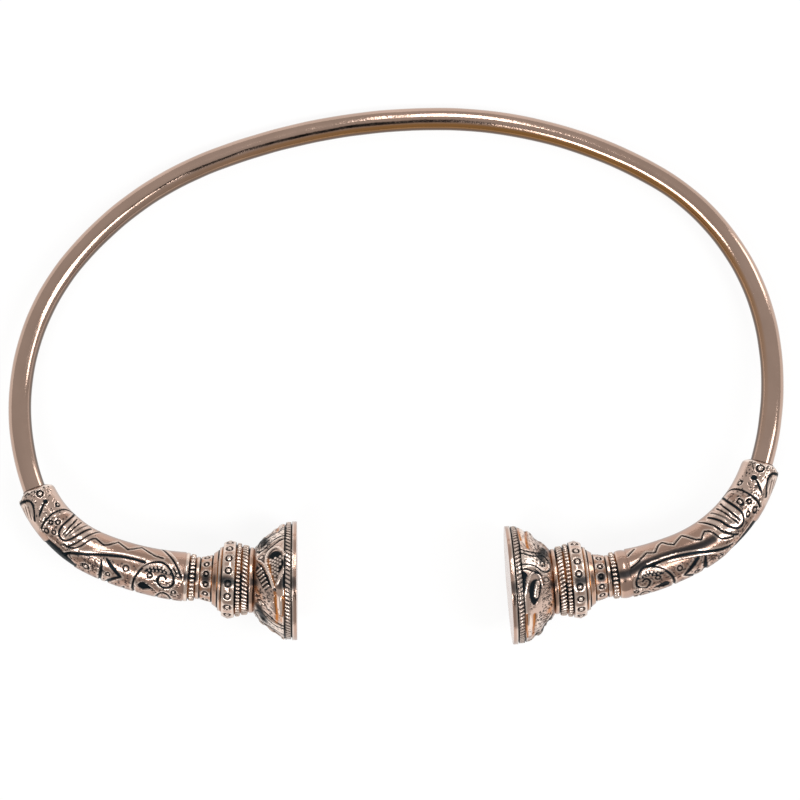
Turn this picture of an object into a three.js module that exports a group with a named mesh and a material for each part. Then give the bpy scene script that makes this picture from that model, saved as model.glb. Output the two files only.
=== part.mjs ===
// Bronze torc: a plain round rod bent to a wide open oval, with a cast terminal on each end.
// Each terminal is one casting: a curved tapering sleeve that takes the rod in a blind socket,
// a stack of collars and bands, and a flared cup with a flat end face.
// Units are millimetres, +Z is up, and the open front of the torc faces -Y.
// The torc lies on z = 0, touching it at both cup rims and at the back of the rod.

import * as THREE from 'three';

// ---- driving dimensions ----

const rodRadius = 2.27;
const rodSides = 12;
const rodStep = 4.8;

// The centre line leaves the back of the ring (the crown) in both directions.
// Each side is a chain of arcs: the length of an arc, and how far it turns towards the front.
// The two castings differ a little, as hand-finished pairs do: in the width of the plain ring that
// ends the sleeve, in how long everything beyond the sleeve is, and in where the first raised tongue
// is on the cup.
const left = {
  direction: -1,
  arcs: [
    { length: 47.0, turn: 21.6 },
    { length: 35.0, turn: 30.0 },
    { length: 47.0, turn: 58.0 },
    { length: 19.6, turn: 47.0 },
    { length: 19.6, turn: 19.6 },
    { length: 20.7, turn: 4.0 },
  ],
  plainRingWidth: 1.1,
  headStretch: 1.0,
  tongueStart: 137,
};
const right = {
  direction: 1,
  arcs: [
    { length: 45.0, turn: 29.4 },
    { length: 42.3, turn: 52.5 },
    { length: 25.8, turn: 25.5 },
    { length: 22.9, turn: 46.5 },
    { length: 17.2, turn: 20.0 },
    { length: 19.4, turn: 1.8 },
  ],
  plainRingWidth: 2.5,
  headStretch: 1.01,
  tongueStart: 113,
};

const terminalSides = 30;
const socketDepth = 11.5;
const socketGap = 0.3;
const socketSteps = 4;
const mouthRadius = 3.0;
const shoulderLength = 2.0;
const shoulderSteps = 4;
const sleeveLength = 36.5;
const sleeveStartRadius = 3.88;
const sleeveEndRadius = 4.92;
const sleeveSteps = 13;

// The rings between sleeve and cup, in order: width, radius at the sleeve end and at the cup end,
// how far the middle bulges out, and the radius of the groove that follows.
const plainRing = { from: 4.6, to: 4.6, bulge: 0.26, groove: 4.3 };
const collars = [
  { width: 1.3, from: 4.62, to: 4.62, bulge: 0.0, groove: 4.0 },
  { width: 0.9, from: 4.2, to: 4.2, bulge: 0.0, groove: 3.95 },
  { width: 2.4, from: 4.2, to: 4.75, bulge: 0.0, groove: 4.6 },
  { width: 1.15, from: 5.0, to: 5.8, bulge: 0.0, groove: 5.75 },
  { width: 0.8, from: 6.2, to: 6.45, bulge: 0.0, groove: 6.5 },
  { width: 2.7, from: 7.15, to: 7.4, bulge: 0.4, groove: 6.9 },
  { width: 1.15, from: 7.28, to: 7.2, bulge: 0.0, groove: 6.6 },
  { width: 1.5, from: 6.95, to: 6.85, bulge: 0.0, groove: 6.3 },
  { width: 0.9, from: 6.52, to: 6.48, bulge: 0.0, groove: 6.25 },
];

const cupInset = 0.1;
const cupLength = 6.2;
const cupNeckRadius = 6.5;
const cupMouthRadius = 11.5;
const cupFlare = 1.75;
const cupSteps = 7;
const tongueCount = 3;
const tongueHeight = 0.4;
const tongueHalfAngle = 20;
const milledRing = { width: 1.3, radius: 11.65, groove: 11.25 };
const flange = { width: 1.05, radius: 11.8 };

// How deep the table cuts into the back of the rod and the cup rims, which gives each a small flat.
const restFlat = 0.18;

const bronze = new THREE.MeshStandardMaterial({ color: 0xb08468, roughness: 0.34, metalness: 1.0 });
const agedBronze = new THREE.MeshStandardMaterial({ color: 0xa87858, roughness: 0.42, metalness: 1.0 });

// ---- the centre line ----

const radians = THREE.MathUtils.degToRad;

function totalLength(arcs) {
  return arcs.reduce((sum, arc) => sum + arc.length, 0);
}

// Point and heading in the plane of the ring, at a distance from the crown along one side.
function alongArcs(arcs, distance) {
  let x = 0;
  let y = 0;
  let heading = 0;
  let remaining = distance;
  arcs.forEach((arc, index) => {
    const last = index === arcs.length - 1;
    const length = last ? remaining : Math.min(remaining, arc.length);
    const turn = -radians(arc.turn) * length / arc.length;
    const chord = Math.abs(turn) > 1e-9 ? length * Math.sin(turn / 2) / (turn / 2) : length;
    x += chord * Math.cos(heading + turn / 2);
    y += chord * Math.sin(heading + turn / 2);
    heading += turn;
    remaining -= length;
  });
  return { x, y, heading };
}

// Tilt of the ring's plane when the cup rims and the back of the rod touch the table.
const leftEnd = alongArcs(left.arcs, totalLength(left.arcs));
const tilt = Math.asin((flange.radius - rodRadius) / -leftEnd.y);
const crownHeight = rodRadius * Math.cos(tilt) - restFlat;

// World position and section axes at a signed distance from the crown: negative is the left side.
// "out" points away from the middle of the ring and "up" is the normal of its plane.
function frameAt(distance) {
  const side = distance < 0 ? left : right;
  const { x, y, heading } = alongArcs(side.arcs, Math.abs(distance));
  const planeToWorld = (u, v) => new THREE.Vector3(
    side.direction * u, v * Math.cos(tilt), -v * Math.sin(tilt));
  const centre = planeToWorld(x, y).add(new THREE.Vector3(0, 0, crownHeight));
  const out = planeToWorld(-Math.sin(heading), Math.cos(heading));
  const up = new THREE.Vector3(0, Math.sin(tilt), Math.cos(tilt));
  return { centre, out, up };
}

// ---- swept solids ----

// A closed solid of round sections along the centre line. Each station has a distance from the
// crown and a radius, which may depend on the angle. It is closed by a fan at both ends, and no
// vertex goes below the table: a low one is drawn in along its own radius, which leaves a flat.
function sweep(stations, sides) {
  const positions = [];
  const indices = [];
  const addPoint = (point) => positions.push(point.x, point.y, point.z);

  addPoint(frameAt(stations[0].at).centre);
  for (const station of stations) {
    const { centre, out, up } = frameAt(station.at);
    for (let k = 0; k < sides; k += 1) {
      const angle = 2 * Math.PI * k / sides;
      const ray = out.clone().multiplyScalar(Math.cos(angle)).addScaledVector(up, Math.sin(angle));
      let radius = typeof station.radius === 'function' ? station.radius(angle) : station.radius;
      if (centre.z + radius * ray.z < 0) {
        radius = -centre.z / ray.z;
      }
      addPoint(ray.multiplyScalar(radius).add(centre));
    }
  }
  addPoint(frameAt(stations[stations.length - 1].at).centre);

  const vertex = (ring, k) => 1 + ring * sides + k % sides;
  const lastPoint = 1 + stations.length * sides;
  const lastRing = stations.length - 1;
  for (let k = 0; k < sides; k += 1) {
    indices.push(0, vertex(0, k + 1), vertex(0, k));
    for (let ring = 0; ring < lastRing; ring += 1) {
      const corners = [vertex(ring, k), vertex(ring, k + 1), vertex(ring + 1, k + 1), vertex(ring + 1, k)];
      indices.push(corners[0], corners[1], corners[2]);
      indices.push(corners[0], corners[2], corners[3]);
    }
    indices.push(lastPoint, vertex(lastRing, k), vertex(lastRing, k + 1));
  }
  return closedGeometry(positions, indices);
}

// Six times the signed volume decides which way round the triangles go, so that faces point out.
function closedGeometry(positions, indices) {
  const corner = (index) => new THREE.Vector3().fromArray(positions, 3 * index);
  let volume = 0;
  for (let i = 0; i < indices.length; i += 3) {
    const [a, b, c] = [corner(indices[i]), corner(indices[i + 1]), corner(indices[i + 2])];
    volume += a.dot(b.cross(c));
  }
  const outward = volume < 0 ? [...indices].reverse() : indices;
  const geometry = new THREE.BufferGeometry();
  geometry.setAttribute('position', new THREE.Float32BufferAttribute(positions, 3));
  geometry.setIndex(outward);
  geometry.computeVertexNormals();
  return geometry;
}

// ---- the rod ----

function rodStations(leftMouth, rightMouth) {
  const from = -(leftMouth + socketDepth - socketGap);
  const to = rightMouth + socketDepth - socketGap;
  const steps = Math.round((to - from) / rodStep);
  const stations = [];
  for (let i = 0; i <= steps; i += 1) {
    stations.push({ at: from + (to - from) * i / steps, radius: rodRadius });
  }
  return stations;
}

// ---- the terminals ----

// Stations from the bottom of the socket out to the mouth.
function socketProfile() {
  const profile = [];
  for (let i = socketSteps; i >= 0; i -= 1) {
    profile.push({ along: socketDepth * i / socketSteps, radius: rodRadius + socketGap });
  }
  return profile;
}

// A rounded shoulder at the mouth, then a straight taper.
function sleeveProfile() {
  const profile = [];
  for (let i = 0; i < shoulderSteps; i += 1) {
    const turn = Math.PI / 2 * i / shoulderSteps;
    const radius = mouthRadius + (sleeveStartRadius - mouthRadius) * Math.sin(turn);
    profile.push({ along: shoulderLength * (1 - Math.cos(turn)), radius });
  }
  for (let i = 0; i <= sleeveSteps; i += 1) {
    const part = i / sleeveSteps;
    const radius = sleeveStartRadius + (sleeveEndRadius - sleeveStartRadius) * part;
    profile.push({ along: shoulderLength + (sleeveLength - shoulderLength) * part, radius });
  }
  return profile;
}

// Each ring has its two edges, its middle where it bulges, and the bottom of the groove after it.
function collarProfile(rings) {
  const profile = [];
  const grooveWidth = 0.12;
  let along = 0;
  for (const ring of rings) {
    profile.push({ along: along + grooveWidth, radius: ring.from });
    if (ring.bulge > 0) {
      profile.push({ along: along + ring.width / 2, radius: (ring.from + ring.to) / 2 + ring.bulge });
    }
    profile.push({ along: along + ring.width - grooveWidth, radius: ring.to });
    along += ring.width;
    profile.push({ along, radius: ring.groove });
  }
  return profile;
}

// Raised rounded tongues on the outside of the cup, which spring from the rim side.
function tongueRelief(angle, part, startAngle) {
  const pitch = 360 / tongueCount;
  const fromStart = THREE.MathUtils.radToDeg(angle) - startAngle;
  const offset = Math.abs(THREE.MathUtils.euclideanModulo(fromStart + pitch / 2, pitch) - pitch / 2);
  const across = Math.max(0, 1 - (offset / tongueHalfAngle) ** 2);
  const lengthwise = Math.sin(Math.PI * Math.min(1, Math.max(0, part)));
  return tongueHeight * across * lengthwise;
}

// The flare opens fast at the neck and slower towards the rim.
function cupProfile(start, startAngle) {
  const profile = [];
  for (let i = 0; i <= cupSteps; i += 1) {
    const part = i / cupSteps;
    const opening = 1 - (1 - part) ** cupFlare;
    const radius = cupNeckRadius + (cupMouthRadius - cupNeckRadius) * opening;
    profile.push({
      along: start + cupLength * part,
      radius: (angle) => radius + tongueRelief(angle, part, startAngle),
    });
  }
  return profile;
}

function rimProfile(start) {
  const step = 0.12;
  const milledEnd = start + milledRing.width;
  return [
    { along: start + step, radius: milledRing.groove },
    { along: start + 2 * step, radius: milledRing.radius },
    { along: milledEnd - step, radius: milledRing.radius },
    { along: milledEnd, radius: milledRing.groove },
    { along: milledEnd + step, radius: flange.radius },
    { along: milledEnd + flange.width, radius: flange.radius },
  ];
}

// Everything beyond the sleeve, measured from its end.
function headProfile(side) {
  const rings = [{ ...plainRing, width: side.plainRingWidth }, ...collars];
  const cupStart = rings.reduce((sum, ring) => sum + ring.width, cupInset);
  return [
    ...collarProfile(rings),
    ...cupProfile(cupStart, side.tongueStart),
    ...rimProfile(cupStart + cupLength),
  ];
}

function terminalProfile(side) {
  const head = headProfile(side).map((point) => ({
    along: sleeveLength + side.headStretch * point.along,
    radius: point.radius,
  }));
  return [...socketProfile(), ...sleeveProfile(), ...head];
}

// Distance of the sleeve's mouth from the crown, so that the end face is where the arcs end.
function mouthDistance(side, profile) {
  return totalLength(side.arcs) - profile[profile.length - 1].along;
}

function terminalStations(side, profile) {
  const mouth = mouthDistance(side, profile);
  return profile.map((point) => ({
    at: side.direction * (mouth + point.along),
    radius: point.radius,
  }));
}

// ---- assembly ----

function namedMesh(name, geometry, material) {
  const mesh = new THREE.Mesh(geometry, material);
  mesh.name = name;
  return mesh;
}

const leftProfile = terminalProfile(left);
const rightProfile = terminalProfile(right);
const ringStations = rodStations(mouthDistance(left, leftProfile), mouthDistance(right, rightProfile));
const leftStations = terminalStations(left, leftProfile);
const rightStations = terminalStations(right, rightProfile);

const torc = new THREE.Group();
torc.add(namedMesh('neck_ring', sweep(ringStations, rodSides), bronze));
torc.add(namedMesh('left_terminal', sweep(leftStations, terminalSides), agedBronze));
torc.add(namedMesh('right_terminal', sweep(rightStations, terminalSides), agedBronze));

// The origin is the middle of the bottom of the bounding box.
const box = new THREE.Box3().setFromObject(torc);
const middle = box.getCenter(new THREE.Vector3());
torc.position.set(-middle.x, -middle.y, -box.min.z);

export default torc;
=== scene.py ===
"""The finished looks of the bronze torc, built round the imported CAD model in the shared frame.

The rod and both cast terminals are swept again along the same centre line, but finely, and the
chased and punched ornament is real relief. Lengths are in millimetres and angles in degrees
until the meshes are made, which are in metres. Along a terminal, 0 is the mouth of its sleeve.
Round a section, 0 is the outer side of the ring, 90 is up and 180 is the inner side.
"""

import math

import bpy
import numpy as np
from mathutils import Matrix, Vector


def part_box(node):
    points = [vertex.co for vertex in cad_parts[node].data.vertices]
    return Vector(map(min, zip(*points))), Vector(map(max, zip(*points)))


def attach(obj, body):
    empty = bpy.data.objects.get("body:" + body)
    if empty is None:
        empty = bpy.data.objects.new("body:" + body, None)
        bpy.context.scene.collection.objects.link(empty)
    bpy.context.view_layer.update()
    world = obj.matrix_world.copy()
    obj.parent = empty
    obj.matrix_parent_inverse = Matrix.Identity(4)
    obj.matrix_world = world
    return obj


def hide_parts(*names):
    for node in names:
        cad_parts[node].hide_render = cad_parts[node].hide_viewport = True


MM = 0.001

# ---- dimensions ----

# The line, and the lengths and radii of sleeve, rings, cup and flange, are those of the CAD model.
# The gap of the socket is not (0.3 mm there), nor is the angle where the left cup's tongues start
# (137 degrees there). The rounding of edges, the width of grooves, the shape and height of the
# tongues and all other ornament are set here.

ROD_RADIUS = 2.27

LEFT = {
    "node": "left_terminal",
    "seed": 11,
    "direction": -1,
    "arcs": [(47.0, 21.6), (35.0, 30.0), (47.0, 58.0), (19.6, 47.0), (19.6, 19.6), (20.7, 4.0)],
    "plain_ring": 1.1,
    "head_stretch": 1.0,
    "tongue_start": 144,
    "figure_turn": 41,
    "band_angles": (43.0, 40.0),
    "cup_bulges": [(2.2, 178, 0.3), (4.4, 176, 0.2), (1.6, -4, 0.2), (3.6, -6, 0.3)],
}
RIGHT = {
    "node": "right_terminal",
    "seed": 12,
    "direction": 1,
    "arcs": [(45.0, 29.4), (42.3, 52.5), (25.8, 25.5), (22.9, 46.5), (17.2, 20.0), (19.4, 1.8)],
    "plain_ring": 2.5,
    "head_stretch": 1.01,
    "tongue_start": 113,
    "figure_turn": 33,
    "band_angles": (33.0, 35.0),
    "cup_bulges": [
        (3.7, 176, 0.55), (1.2, 178, 0.25), (1.7, -4, -0.35), (3.1, -6, 0.55), (5.0, -4, 0.2),
    ],
}

# The right sleeve carries the ornament of the left one, laid on by hand a little differently:
# how far along the right sleeve each place of the left one comes, and how many degrees each
# place is turned, low down, near the top and on the inner side.
LEFT_PLACES = (0.0, 1.7, 5.6, 8.4, 11.5, 16.6, 19.4, 21.9, 24.4, 27.3, 31.3, 34.8, 36.5)
RIGHT_PLACES = (0.0, 1.5, 6.0, 9.2, 12.9, 18.3, 20.8, 24.0, 26.5, 28.9, 33.0, 35.9, 37.6)
TURN_PLACES = (0, 6, 9, 13, 18, 21, 24, 27, 31, 36)
TURNS_LOW = (-8, -5, -5, -13, -18, -18, -22, -17, -12, -11)
TURNS_TOP = (-14, -4, 0, -14, -22, -20, -16, -18, -23, -20)
TURNS_INNER = (-10, 2, 9, 0, -9, -14, -4, -12, -23, -20)

SOCKET_DEPTH = 11.5
SOCKET_GAP = 0.04
ROD_END_GAP = 0.3
MOUTH_RADIUS = 3.0
SHOULDER_LENGTH = 2.0
SLEEVE_LENGTH = 36.5
SLEEVE_START_RADIUS = 3.88
SLEEVE_END_RADIUS = 4.92

# Width, radius at the sleeve end and at the cup end, bulge, and the radius of the groove after it.
COLLARS = [
    (1.3, 4.62, 4.62, 0.0, 4.0),
    (0.9, 4.2, 4.2, 0.0, 3.95),
    (2.4, 4.2, 4.75, 0.0, 4.6),
    (1.15, 5.0, 5.8, 0.0, 5.75),
    (0.8, 6.2, 6.45, 0.0, 6.5),
    (2.7, 7.15, 7.4, 0.4, 6.9),
    (1.15, 7.28, 7.2, 0.0, 6.6),
    (1.5, 6.95, 6.85, 0.0, 6.3),
    (0.9, 6.52, 6.48, 0.0, 6.25),
]
# The plain ring before them, whose width is not the same on both sides.
PLAIN_RING = (4.6, 4.6, 0.26, 4.3)
SMALL_BAND = 3
LARGE_BAND = 6
# Which rings are beaded, how many beads, and how far they lean.
BEADED_RINGS = ((1, 32, 0.0), (7, 55, 0.1), (8, 50, 0.35))

CUP_INSET = 0.1
CUP_LENGTH = 6.2
CUP_NECK_RADIUS = 6.5
CUP_MOUTH_RADIUS = 11.5
CUP_FLARE = 1.75
TONGUE_COUNT = 3
MILLED_WIDTH = 1.3
MILLED_RADIUS = 11.65
MILLED_GROOVE = 11.25
FLANGE_WIDTH = 1.05
FLANGE_RADIUS = 11.8
# How deep the floor cuts into the crown of the rod and into the flanges, which gives each a small flat.
REST_FLAT = 0.18

RING_ROUNDING = 0.15
MILLED_ROUNDING = 0.2
FLANGE_ROUNDING = 0.12
GROOVE_HALF = 0.08
RIM_GROOVE_HALF = 0.1

# ---- how fine the meshes are ----

ROD_SIDES = 48
ROD_STEP = 0.7
SLEEVE_STEP = 0.152
SLEEVE_COLUMNS = (114, 54)
HEAD_STEP = 0.175
HEAD_COLUMNS = (244, 76)
SEEN_FROM, SEEN_TO = -10.0, 190.0
MOUTH_ROWS = (0.0, 0.02, 0.06)
FIRST_BODY_ROW = 0.12
GROOVE_ROWS = (-0.13, -0.075, 0.0, 0.075, 0.13)
GROOVE_CLEARANCE = 0.16
SOCKET_ROWS = 4
FACE_SHARES = (0.97, 0.8, 0.4)

# How far round a line its relief and its stain reach.
LINE_REACH = 1.3

# The unevenness of the hand-finished surfaces.
WAVE_COUNT = 14
ROD_WAVES = 0.018
CAST_WAVES = 0.025
ROD_SEED = 5


# ---- the centre line ----


def along_arcs(arcs, distance):
    """Point and heading in the plane of the ring, at distances from the crown along one side."""
    distance = np.asarray(distance, float)
    x = np.zeros_like(distance)
    y = np.zeros_like(distance)
    heading = np.zeros_like(distance)
    remaining = distance.copy()
    for index, (length, turn) in enumerate(arcs):
        is_last = index == len(arcs) - 1
        used = remaining if is_last else np.clip(remaining, 0, length)
        angle = -np.radians(turn) * used / length
        chord = used * np.sinc(angle / 2 / np.pi)
        x = x + chord * np.cos(heading + angle / 2)
        y = y + chord * np.sin(heading + angle / 2)
        heading = heading + angle
        remaining = remaining - used
    return x, y, heading


def total_length(side):
    return sum(length for length, _ in side["arcs"])


LEFT_END_Y = float(along_arcs(LEFT["arcs"], total_length(LEFT))[1])
TILT = math.asin((FLANGE_RADIUS - ROD_RADIUS) / -LEFT_END_Y)
CROWN_HEIGHT = ROD_RADIUS * math.cos(TILT) - REST_FLAT


def plane_to_world(side, u, v):
    return np.stack([side["direction"] * u, v * math.cos(TILT), -v * math.sin(TILT)], axis=-1)


def section_axes(side, distance):
    """Centre, outward direction and upward direction of the sections at distances from the crown."""
    x, y, heading = along_arcs(side["arcs"], distance)
    centre = plane_to_world(side, x, y) + np.array([0, 0, CROWN_HEIGHT])
    out = plane_to_world(side, -np.sin(heading), np.cos(heading))
    up = np.array([0, math.sin(TILT), math.cos(TILT)])
    return centre, out, up


def section_points(side, distance, angles, radius):
    """Grid of points: a row for each distance from the crown, a column for each angle."""
    centre, out, up = section_axes(side, distance)
    turn = np.radians(angles)
    ray = np.cos(turn)[None, :, None] * out[:, None, :] + np.sin(turn)[None, :, None] * up
    floor_radius = np.where(ray[..., 2] < 0, -centre[:, None, 2] / np.minimum(ray[..., 2], -1e-9), np.inf)
    radius = np.minimum(radius, floor_radius)
    return centre[:, None, :] + radius[..., None] * ray


# ---- profiles of a terminal ----


def sleeve_radius(along):
    part = np.clip((along - SHOULDER_LENGTH) / (SLEEVE_LENGTH - SHOULDER_LENGTH), 0, 1)
    body = SLEEVE_START_RADIUS + (SLEEVE_END_RADIUS - SLEEVE_START_RADIUS) * part
    opening = 1 - np.clip(along / SHOULDER_LENGTH, 0, 1)
    shoulder = (SLEEVE_START_RADIUS - MOUTH_RADIUS) * (1 - np.sqrt(1 - opening**2))
    return body - shoulder


def head_rings(side):
    return [(side["plain_ring"], *PLAIN_RING)] + COLLARS


def ring_starts(side):
    """Where each ring of the head starts, then where the cup starts, from the end of the sleeve."""
    widths = [ring[0] for ring in head_rings(side)]
    starts = [0.0]
    for width in widths:
        starts.append(starts[-1] + width)
    starts[-1] += CUP_INSET
    return starts


def rounded_edge(distance_to_edge, rounding):
    """How much a rounded corner takes off, at a distance in from the edge."""
    corner = np.clip(rounding - distance_to_edge, 0, rounding)
    return rounding - np.sqrt(rounding**2 - corner**2)


def head_radius(side, along):
    """Radius beyond the sleeve, before any ornament. Along is measured from the end of the sleeve."""
    starts = ring_starts(side)
    radius = np.full_like(along, CUP_NECK_RADIUS)
    for (width, first, last, bulge, _), start in zip(head_rings(side), starts):
        part = np.clip((along - start) / width, 0, 1)
        rise = first + (last - first) * part + bulge * (1 - (2 * part - 1) ** 2)
        edge = np.clip(np.minimum(along - start, start + width - along), 0, None)
        inside = (along >= start) & (along <= start + width)
        radius = np.where(inside, rise - rounded_edge(edge, min(RING_ROUNDING, 0.22 * width)), radius)
    for (_, _, _, _, groove), start in zip(head_rings(side), starts[1:]):
        radius = np.where(np.abs(along - start) < GROOVE_HALF, np.minimum(radius, groove), radius)

    cup_start = starts[-1]
    part = np.clip((along - cup_start) / CUP_LENGTH, 0, 1)
    flare = CUP_NECK_RADIUS + (CUP_MOUTH_RADIUS - CUP_NECK_RADIUS) * (1 - (1 - part) ** CUP_FLARE)
    radius = np.where(along > cup_start, flare, radius)

    cup_end = cup_start + CUP_LENGTH
    milled_end = cup_end + MILLED_WIDTH
    edge = np.clip(np.minimum(along - cup_end, milled_end - along), 0, None)
    milled = MILLED_RADIUS - rounded_edge(edge, MILLED_ROUNDING)
    radius = np.where(along > cup_end, milled, radius)
    edge = np.clip(np.minimum(along - milled_end, milled_end + FLANGE_WIDTH - along), 0, None)
    flange = FLANGE_RADIUS - rounded_edge(edge, FLANGE_ROUNDING)
    radius = np.where(along > milled_end, flange, radius)
    for groove_at in (cup_end, milled_end):
        radius = np.where(np.abs(along - groove_at) < RIM_GROOVE_HALF, MILLED_GROOVE, radius)
    return radius


def head_rows(side):
    """Rows along the head: even steps, and closer ones at each groove and corner."""
    starts = ring_starts(side)
    end = starts[-1] + CUP_LENGTH + MILLED_WIDTH + FLANGE_WIDTH
    edges = starts[1:] + [end - MILLED_WIDTH - FLANGE_WIDTH, end - FLANGE_WIDTH]
    rows = list(np.linspace(0, end, round(end / HEAD_STEP) + 1))
    rows = [row for row in rows if min(abs(row - edge) for edge in edges) > GROOVE_CLEARANCE]
    for edge in edges:
        rows.extend(edge + offset for offset in GROOVE_ROWS)
    rows.extend([end - 0.06, end - 0.02, end])
    return np.array(sorted(set(round(row, 4) for row in rows if 0.01 < row <= end)))


def terminal_length(side):
    head = ring_starts(side)[-1] + CUP_LENGTH + MILLED_WIDTH + FLANGE_WIDTH
    return SLEEVE_LENGTH + side["head_stretch"] * head


def mouth_distance(side):
    return total_length(side) - terminal_length(side)


# ---- relief ----


def wrapped(angle):
    return (angle + 180) % 360 - 180


def smooth_step(value):
    value = np.clip(value, 0, 1)
    return value * value * (3 - 2 * value)


def smooth_line(points, steps=8):
    """A smooth line through the points (Catmull-Rom)."""
    points = np.array(points, float)
    padded = np.vstack([2 * points[0] - points[1], points, 2 * points[-1] - points[-2]])
    line = []
    for a, b, c, d in zip(padded, padded[1:], padded[2:], padded[3:]):
        for step in range(steps):
            s = step / steps
            line.append(
                0.5 * (2 * b + (c - a) * s + (2 * a - 5 * b + 4 * c - d) * s**2
                       + (3 * b - a - 3 * c + d) * s**3)
            )
    line.append(points[-1])
    return np.array(line)


def blurred(grid, reach):
    """The grid averaged with its neighbours: rows end, columns go round."""
    weights = np.exp(-((np.arange(-2 * reach, 2 * reach + 1) / reach) ** 2))
    weights /= weights.sum()
    padded = np.pad(grid, ((2 * reach, 2 * reach), (0, 0)), mode="edge")
    down = sum(w * padded[k : k + len(grid)] for k, w in enumerate(weights))
    return sum(w * np.roll(down, k - 2 * reach, axis=1) for k, w in enumerate(weights))


def falloff(distance, width, power=2):
    """1 at no distance, and softly down to nothing over a width."""
    return np.exp(-((distance / width) ** power))


def rounded(distance, radius):
    """1 in the middle and 0 from a radius on, like the section of a low dome."""
    return np.clip(1 - (distance / radius) ** 2, 0, 1)


def raise_to(layer, value, near=...):
    """Brings a layer of the grid up to a value where it is lower, everywhere or at some points."""
    layer[near] = np.maximum(layer[near], value)


class Relief:
    """Height in mm and finish, at each point of a (along, angle) grid on a surface of revolution.

    Places are measured from an origin, which is the start of the grid until place_at moves it.
    """

    def __init__(self, along, angle, radius):
        self.along = along
        self.angle = angle
        self.radius = radius
        self.origin = np.zeros(2)
        self.height = np.zeros_like(along)
        self.patina_and_painted_shade = np.zeros_like(along)
        self.warm_reflection = np.zeros_like(along)
        self.wear_and_highlight = np.zeros_like(along)
        self.cover = np.zeros_like(along)
        self.clean = np.zeros_like(along)

    def place_at(self, along, angle):
        self.origin = np.array([along, angle])

    def window(self, low_along, high_along, centre_angle, half_angle):
        """The grid points of a patch, with their offsets round the surface from its centre, in mm."""
        near_rows = (self.along >= low_along) & (self.along <= high_along)
        offset = wrapped(self.angle - centre_angle)
        near = np.nonzero(near_rows & (np.abs(offset) <= half_angle))
        around = np.radians(offset[near]) * self.radius[near]
        return near, self.along[near], around

    def line_window(self, points, is_smooth):
        """A line laid flat, in mm, and the grid points round it with their places on the same flat."""
        line = smooth_line(points) if is_smooth and len(points) > 2 else np.array(points, float)
        line = line + self.origin
        centre = (line[:, 1].min() + line[:, 1].max()) / 2
        half = (line[:, 1].max() - line[:, 1].min()) / 2
        order = np.argsort(self.along[:, 0])
        radius = np.interp(line[:, 0], self.along[order, 0], self.radius[order, 0])
        flat = np.column_stack([line[:, 0], np.radians(line[:, 1] - centre) * radius])
        low, high = line[:, 0].min() - LINE_REACH, line[:, 0].max() + LINE_REACH
        return flat, *self.window(low, high, centre, half + np.degrees(LINE_REACH / radius.min()))

    def near_line(self, points, is_smooth=True):
        """Grid points near a line, how far each is from it in mm, and how far along the line it is."""
        flat, near, x, y = self.line_window(points, is_smooth)
        best = np.full(len(x), np.inf)
        part = np.zeros(len(x))
        lengths = np.hypot(*np.diff(flat, axis=0).T)
        before = np.concatenate([[0], np.cumsum(lengths)])
        for index, (start, end) in enumerate(zip(flat, flat[1:])):
            step = end - start
            share = ((x - start[0]) * step[0] + (y - start[1]) * step[1]) / max(step @ step, 1e-12)
            share = np.clip(share, 0, 1)
            distance = np.hypot(x - start[0] - share * step[0], y - start[1] - share * step[1])
            closer = distance < best
            best = np.where(closer, distance, best)
            part = np.where(closer, (before[index] + share * lengths[index]) / before[-1], part)
        return near, best, part

    def around_point(self, at, reach):
        """Grid points round a place, and how far each is from it in mm."""
        along, angle = self.origin + at
        row = np.argmin(np.abs(self.along[:, 0] - along))
        half = np.degrees(1.2 * reach / self.radius[row, 0])
        near, x, y = self.window(along - reach, along + reach, angle, half)
        return near, np.hypot(x - along, y)

    def sink(self, near, share, depth, patina_and_painted_shade):
        self.height[near] = np.minimum(self.height[near], -depth * share)
        raise_to(self.patina_and_painted_shade, patina_and_painted_shade * smooth_step(share * 2.2), near)

    def raise_ball(self, near, share, height):
        raised = np.maximum(self.height[near], height * share)
        self.height[near] = np.where(share > 0, raised, self.height[near])

    def paint_flank_shade(self, share):
        """Painted shade: the metal more than about 70 degrees round from angle 90 is darker and duller."""
        from_top = np.abs(wrapped(self.angle - 90))
        raise_to(self.patina_and_painted_shade, share * smooth_step((from_top - 55) / 30))

    def polish(self, low, high, share):
        """Metal rubbed brighter between two places along, except where a warm reflection is painted."""
        after_low = smooth_step((self.along - low) / 0.8 + 0.5)
        before_high = smooth_step((high - self.along) / 0.8 + 0.5)
        raise_to(self.wear_and_highlight, share * after_low * before_high * (1 - self.warm_reflection))

    def shade_hollows(self, surface):
        """Patina gathers where the surface is lower than round about, and wear where it is higher."""
        hollow = blurred(surface, 3) - surface
        wide_hollow = blurred(surface, 7) - surface
        raise_to(self.patina_and_painted_shade, smooth_step((hollow - 0.01) / 0.09))
        raise_to(self.patina_and_painted_shade, 0.75 * smooth_step((wide_hollow - 0.03) / 0.16))
        self.patina_and_painted_shade *= 1 - self.clean
        raise_to(self.wear_and_highlight, 0.9 * smooth_step((-hollow - 0.01) / 0.08))

    def stroke(self, points, width=0.58, depth=0.28, patina_and_painted_shade=1.0, is_smooth=True, taper=0.0):
        """A chased line. Taper narrows both ends, as a share of the width."""
        near, distance, part = self.near_line(points, is_smooth)
        half = width / 2 * (1 - taper * np.abs(2 * part - 1) ** 3)
        self.sink(near, rounded(distance, half), depth, patina_and_painted_shade)
        # A painted highlight along both edges of the line.
        raise_to(self.wear_and_highlight, 0.7 * falloff(distance - half - 0.16, 0.13) * (distance > half), near)

    def dark_band(self, points, width, strength):
        """A soft dark band along a line, in the patina layer; on the heads and the right sleeve it is a
        painted dark reflection.
        """
        near, distance, _ = self.near_line(points)
        raise_to(self.patina_and_painted_shade, strength * falloff(distance, width / 2, 4), near)

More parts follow.
